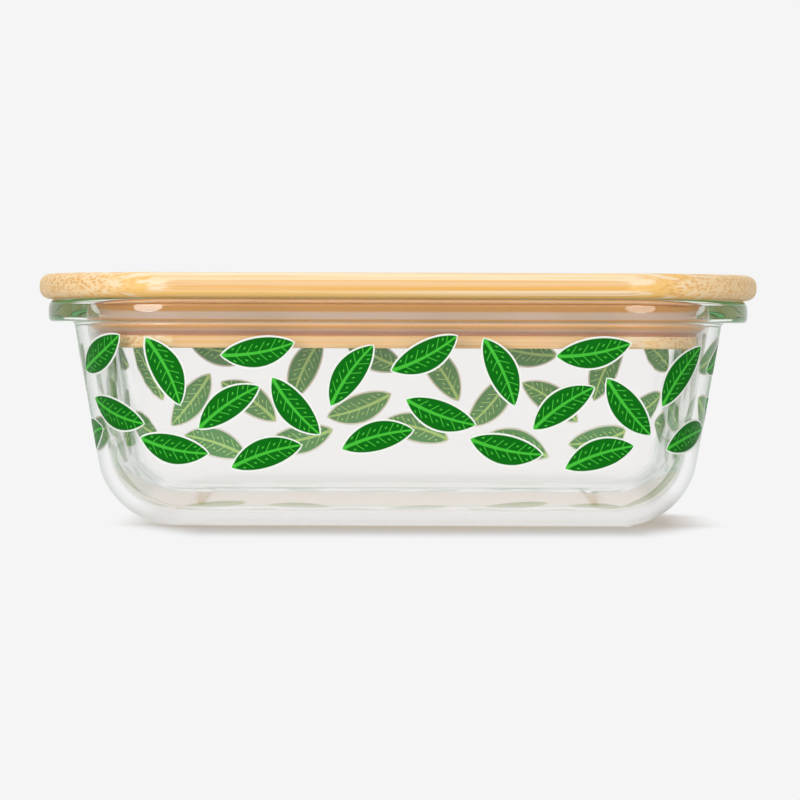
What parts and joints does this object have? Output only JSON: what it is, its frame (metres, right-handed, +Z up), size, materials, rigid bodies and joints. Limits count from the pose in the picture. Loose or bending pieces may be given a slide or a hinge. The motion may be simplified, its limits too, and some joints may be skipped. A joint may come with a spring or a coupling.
{
  "type": "food storage container",
  "caption": "Rectangular glass food tub with drafted walls and a rim flange, under a laminated bamboo lid whose stepped plug carries a silicone seal.",
  "frame": {"origin": "centre of the container's base, on the surface it stands on", "axes": "+X along the container's long side, +Y along its short side to the back, +Z up through the lid"},
  "size_m": [0.211, 0.159, 0.0739],
  "materials": {
    "clear_glass": "polished pressed borosilicate glass",
    "bamboo": "sanded and oiled, satin",
    "silicone": "translucent, soft matte",
    "leaf_print": "fired enamel print on the glass"
  },
  "bodies": {
    "container": {"glass_tub": "clear_glass"},
    "lid": {"panel_strip_1": "bamboo", "panel_strip_2": "bamboo", "panel_strip_3": "bamboo", "panel_strip_4": "bamboo", "panel_strip_5": "bamboo", "panel_strip_6": "bamboo", "panel_strip_7": "bamboo", "plug_upper_strip_1": "bamboo", "plug_upper_strip_2": "bamboo", "plug_upper_strip_3": "bamboo", "plug_upper_strip_4": "bamboo", "plug_upper_strip_5": "bamboo", "plug_upper_strip_6": "bamboo", "plug_lower_strip_1": "bamboo", "plug_lower_strip_2": "bamboo", "plug_lower_strip_3": "bamboo", "plug_lower_strip_4": "bamboo", "plug_lower_strip_5": "bamboo", "plug_lower_strip_6": "bamboo", "plug_lower_strip_7": "bamboo", "silicone_seal": "silicone"}
  },
  "joints": [
    {"name": "lid_lift", "type": "slide", "parent": "container", "child": "lid", "axis": [0, 0, 1], "range_m": [0, 0.06]}
  ]
}
